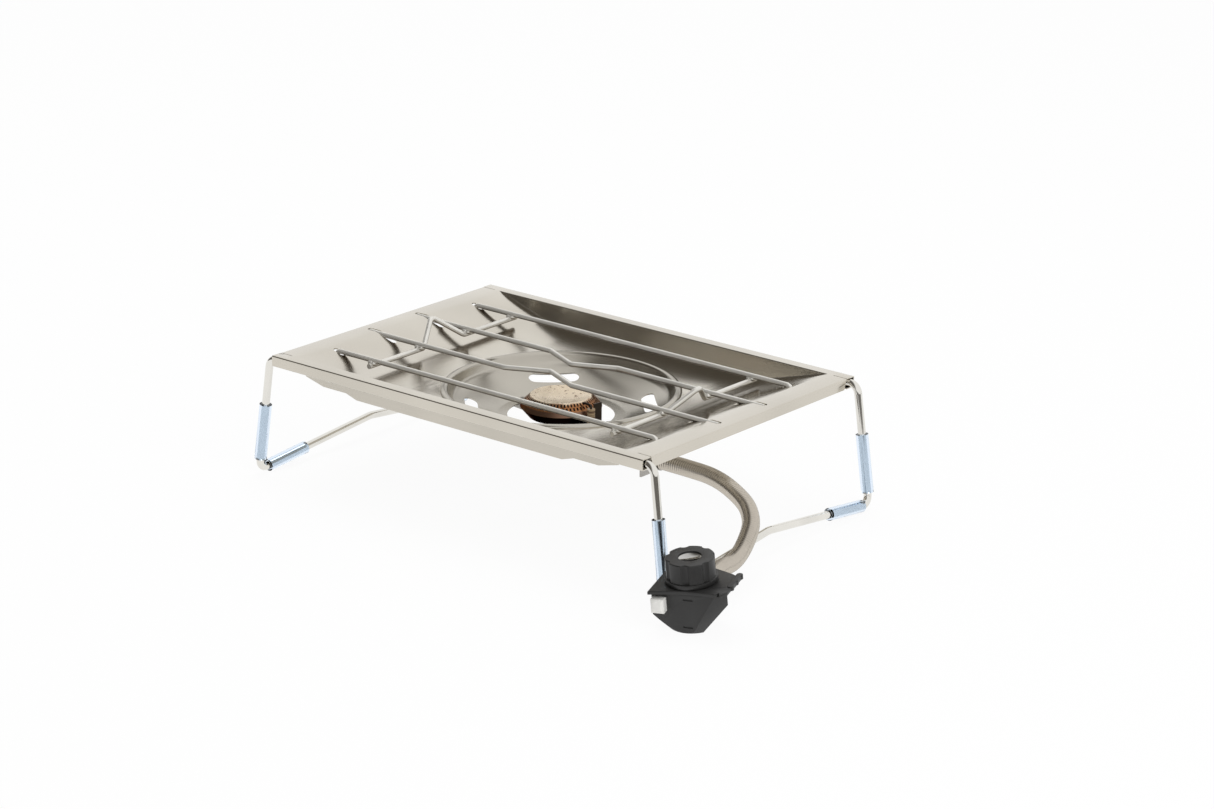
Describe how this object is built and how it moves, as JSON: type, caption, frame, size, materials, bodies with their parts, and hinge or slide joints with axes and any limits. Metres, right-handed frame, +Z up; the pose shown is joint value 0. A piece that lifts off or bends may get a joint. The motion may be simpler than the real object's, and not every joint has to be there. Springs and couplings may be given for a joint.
{
  "type": "portable gas stove",
  "caption": "Flat table-top gas stove: sunk stainless tray with round burner, wire pot support, plug-in wire stands and a valve with igniter on a ribbed hose.",
  "frame": {"origin": "on the table, below the middle of the plate", "axes": "+X along the plate towards the hose and valve side, +Y to the back, +Z up"},
  "size_m": [0.4807, 0.3045, 0.1119],
  "materials": {
    "tray_steel": "satin stainless sheet with soft warm reflections",
    "shield_steel": "dull sheet steel",
    "bowl_steel": "bright drawn stainless sheet",
    "bracket_steel": "plain steel strip, heat darkened",
    "screw_steel": "zinc plated screw steel",
    "burner_base_metal": "dark cast cup, heat browned",
    "burner_cap_metal": "cream gold top and brown ported wall",
    "tube_metal": "plain drawn tube",
    "brass_fittings": "turned brass",
    "ferrule_steel": "crimped steel sleeve",
    "white_ceramic": "glazed white ceramic",
    "electrode_steel": "heat dulled wire",
    "lead_silicone": "silicone insulated lead",
    "wire_chrome": "bright plated round wire",
    "clear_vinyl": "clear soft vinyl with a blue cast",
    "hose_steel": "fine ribbed warm grey steel",
    "housing_black": "matt charcoal moulding",
    "knob_black": "matt black moulding",
    "disc_bright": "polished disc",
    "button_white": "off white moulding",
    "piezo_case": "moulded cartridge case",
    "seal_rubber": "black rubber ring"
  },
  "bodies": {
    "stove": {"bracket_screws": "screw_steel", "burner_base": "burner_base_metal", "burner_bowl": "bowl_steel", "burner_bracket": "bracket_steel", "burner_cap": "burner_cap_metal", "canister_seal": "seal_rubber", "electrode_guard": "bracket_steel", "electrode_insulator": "white_ceramic", "electrode_rod": "electrode_steel", "gas_jet": "brass_fittings", "heat_shield": "shield_steel", "hose": "hose_steel", "hose_bracket": "bracket_steel", "housing_screws": "screw_steel", "ignition_lead": "lead_silicone", "jet_holder": "brass_fittings", "mixing_tube": "tube_metal", "opening_pin": "screw_steel", "piezo_unit": "piezo_case", "spindle_seal": "seal_rubber", "stove_ferrule": "ferrule_steel", "tray": "tray_steel", "valve_body": "housing_black", "valve_core": "brass_fittings", "valve_cover": "housing_black", "valve_ferrule": "ferrule_steel"},
    "pot_support": {"inner_back_rail": "wire_chrome", "inner_front_rail": "wire_chrome", "left_cross_bar": "wire_chrome", "outer_back_rail": "wire_chrome", "outer_front_rail": "wire_chrome", "right_cross_bar": "wire_chrome"},
    "left_stand": {"left_back_bar_sleeve": "clear_vinyl", "left_back_leg_sleeve": "clear_vinyl", "left_front_bar_sleeve": "clear_vinyl", "left_front_leg_sleeve": "clear_vinyl", "left_stand_wire": "wire_chrome"},
    "right_stand": {"right_back_bar_sleeve": "clear_vinyl", "right_back_leg_sleeve": "clear_vinyl", "right_front_bar_sleeve": "clear_vinyl", "right_front_leg_sleeve": "clear_vinyl", "right_stand_wire": "wire_chrome"},
    "spindle": {"valve_spindle": "screw_steel"},
    "knob": {"knob": "knob_black", "knob_screw": "screw_steel", "knob_cap": "disc_bright"},
    "igniter_button": {"igniter_button": "button_white"}
  },
  "joints": [
    {"name": "left_stand_pull", "type": "slide", "parent": "stove", "child": "left_stand", "axis": [-1, 0, 0], "range_m": [0, 0.05]},
    {"name": "right_stand_pull", "type": "slide", "parent": "stove", "child": "right_stand", "axis": [1, 0, 0], "range_m": [0, 0.024]},
    {"name": "pot_support_lift", "type": "slide", "parent": "stove", "child": "pot_support", "axis": [0, 0, 1], "range_m": [0, 0.05]},
    {"name": "spindle_lift", "type": "slide", "parent": "stove", "child": "spindle", "axis": [-0.0279, -0.1097, 0.9936], "range_m": [0, 0.00113]},
    {"name": "knob_turn", "type": "hinge", "parent": "spindle", "child": "knob", "pos_m": [0.24294, -0.14818, 0.03637], "axis": [-0.0279, -0.1097, 0.9936], "range_deg": [0, 540]},
    {"name": "igniter_press", "type": "slide", "parent": "stove", "child": "igniter_button", "axis": [-0.3006, 0.9489, 0.0963], "range_m": [0, 0.004], "stiffness_N_per_m": 300}
  ],
  "couplings": [
    {"joint": "spindle_lift", "follows": "knob_turn", "m_per_rad": 0.00011937}
  ]
}
